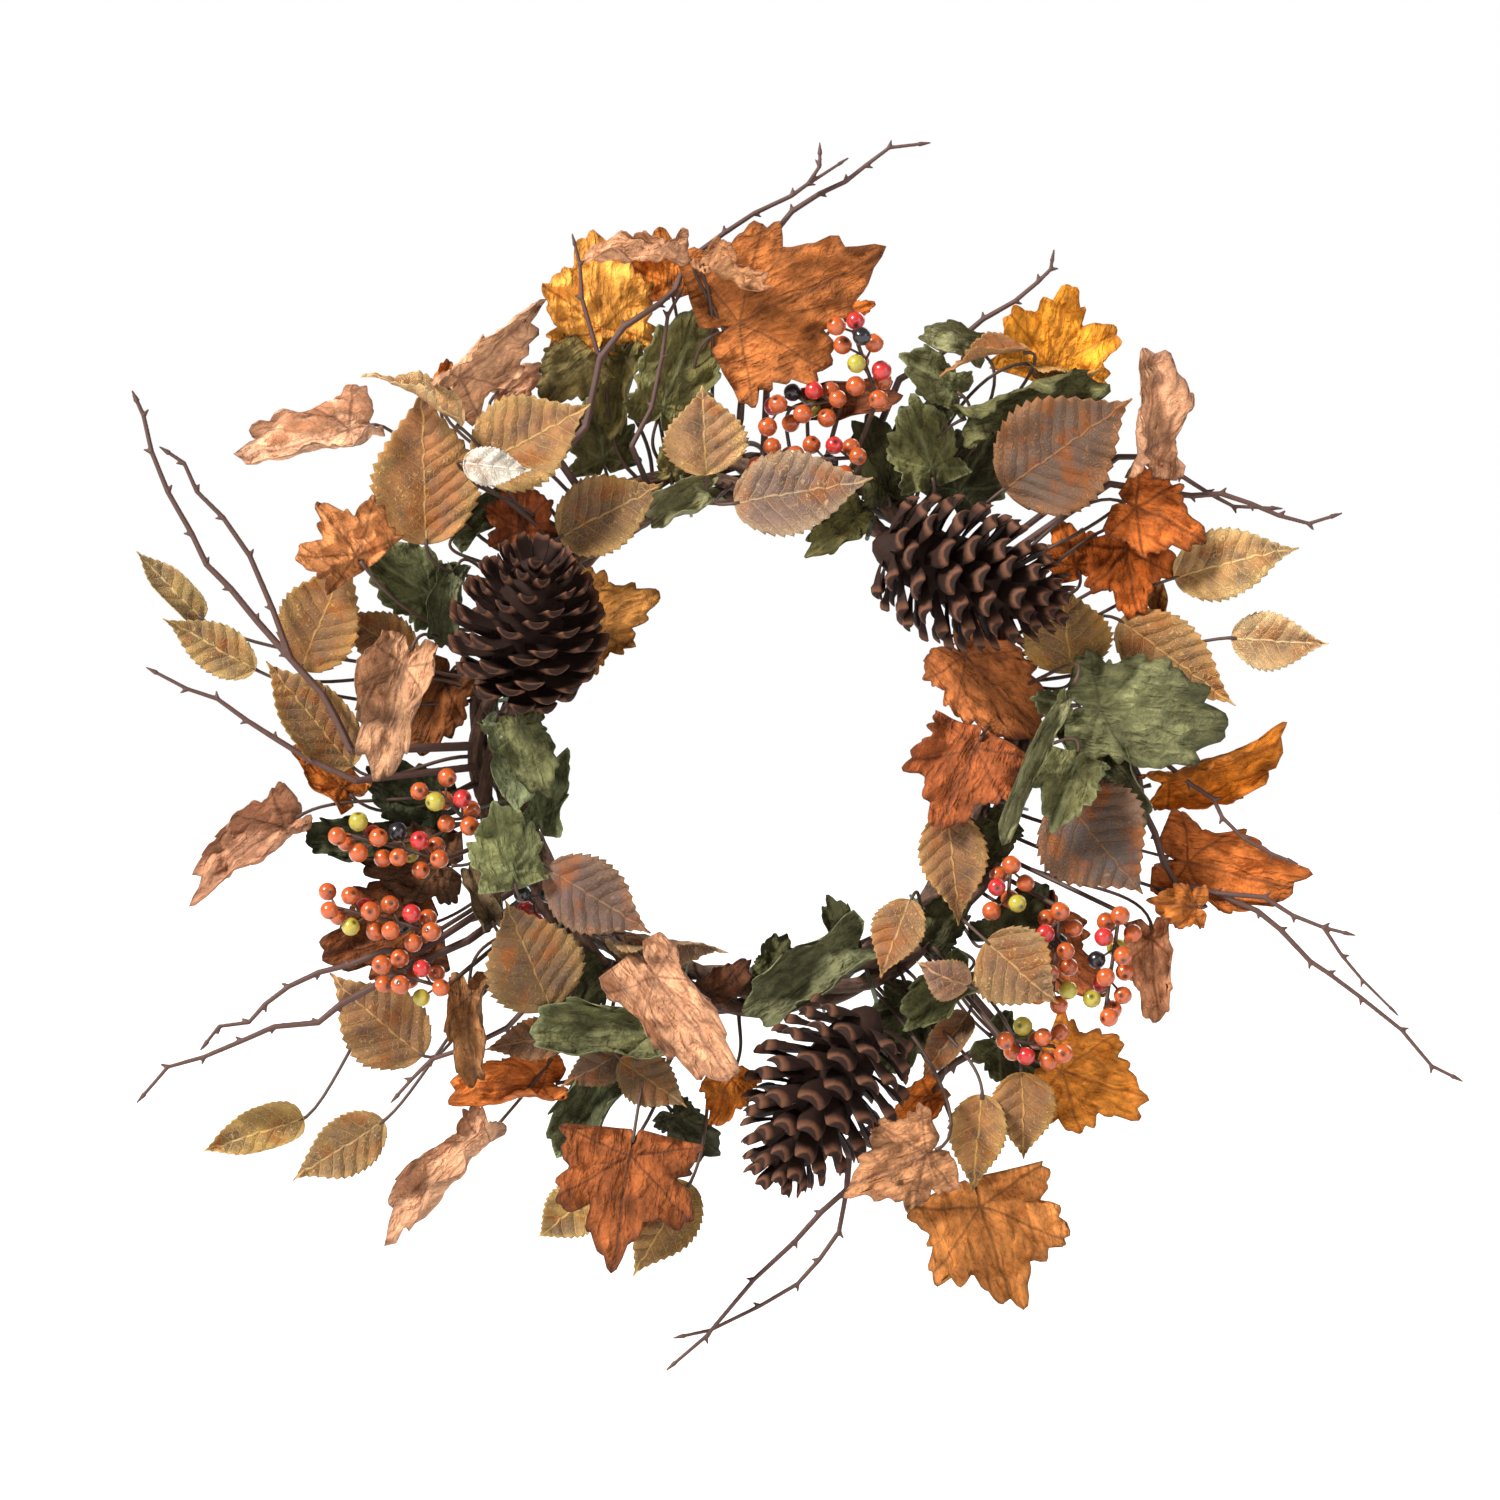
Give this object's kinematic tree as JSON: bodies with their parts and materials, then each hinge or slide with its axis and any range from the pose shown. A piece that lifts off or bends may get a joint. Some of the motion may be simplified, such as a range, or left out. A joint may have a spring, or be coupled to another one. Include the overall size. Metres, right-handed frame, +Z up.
{
  "type": "door wreath",
  "caption": "Round grapevine door wreath dressed with crinkled autumn leaves, pine cones, berry picks and budded twigs, with a hinged wire hanging eye at its back.",
  "frame": {"origin": "centre of the hanging eye, where the nail or hook passes through", "axes": "+Z up as the wreath hangs, +X to the viewer's right, +Y through the wreath towards the door; the leaves face -Y"},
  "size_m": [0.665, 0.1318, 0.618],
  "materials": {
    "frame_wire": "dull drawn steel wire",
    "grapevine": "rough dark brown bark",
    "floral_wire": "green enamelled soft wire, satin",
    "hanger_wire": "plain drawn steel wire",
    "golden_leaf": "printed polyester leaf cloth, matt, gold veins",
    "orange_leaf": "crinkled heat-set leaf cloth, matt",
    "tan_leaf": "crinkled heat-set leaf cloth, matt pinkish tan",
    "green_leaf": "crinkled heat-set leaf cloth, matt olive",
    "wrapped_stem": "wire stem in brown moulded cover",
    "budded_twig": "wire twig in dark brown moulded bark",
    "orange_berry": "glossy coated berry, copper orange",
    "red_berry": "glossy coated berry, red",
    "yellow_berry": "glossy coated berry, yellow-green",
    "black_berry": "glossy coated berry, near black",
    "cone_scale": "natural pine cone scale, matt, pale rim"
  },
  "bodies": {
    "wreath": {"wire_frame_ring": "frame_wire", "vine_strand_1": "grapevine", "vine_strand_2": "grapevine", "vine_strand_3": "grapevine", "vine_strand_4": "grapevine", "vine_strand_5": "grapevine", "binding_wires": "floral_wire", "hanger_staple": "hanger_wire", "golden_leaves_top_left": "golden_leaf", "golden_leaves_top": "golden_leaf", "golden_leaves_top_right": "golden_leaf", "golden_leaves_right": "golden_leaf", "golden_leaves_lower_right": "golden_leaf", "golden_leaves_lower_left": "golden_leaf", "golden_leaves_bottom": "golden_leaf", "golden_leaves_left": "golden_leaf", "maple_leaves_top_left": "tan_leaf", "maple_leaves_top": "orange_leaf", "maple_leaves_top_right": "orange_leaf", "maple_leaves_right": "orange_leaf", "maple_leaves_lower_right": "orange_leaf", "maple_leaves_bottom": "orange_leaf", "maple_leaves_left": "tan_leaf", "green_leaves_top": "green_leaf", "green_leaves_top_right": "green_leaf", "green_leaves_right": "green_leaf", "green_leaves_lower_right": "green_leaf", "green_leaves_bottom": "green_leaf", "green_leaves_left": "green_leaf", "stems_top_left": "wrapped_stem", "stems_top": "wrapped_stem", "stems_top_right": "wrapped_stem", "stems_right": "wrapped_stem", "stems_lower_right": "wrapped_stem", "stems_lower_left": "wrapped_stem", "stems_bottom": "wrapped_stem", "stems_left": "wrapped_stem", "twig_top": "budded_twig", "twig_upper_right": "budded_twig", "twig_right_upper": "budded_twig", "twig_left_upper": "budded_twig", "twig_left_middle": "budded_twig", "twig_left_lower": "budded_twig", "twig_bottom": "budded_twig", "twig_right": "budded_twig", "orange_berries_top": "orange_berry", "orange_berries_left": "orange_berry", "orange_berries_right": "orange_berry", "red_berries": "red_berry", "yellow_berries": "yellow_berry", "black_berries": "black_berry", "berry_stems_top": "wrapped_stem", "berry_stems_left": "wrapped_stem", "berry_stems_right": "wrapped_stem", "pine_cone_left": "cone_scale", "pine_cone_upper_right": "cone_scale", "pine_cone_bottom": "cone_scale", "cone_wires": "floral_wire"},
    "hanger": {"hanger_loop": "hanger_wire"}
  },
  "joints": [
    {"name": "hanger_hinge", "type": "hinge", "parent": "wreath", "child": "hanger", "pos_m": [0, 0, -0.0108], "axis": [-1, 0, 0], "range_deg": [0, 175]}
  ]
}
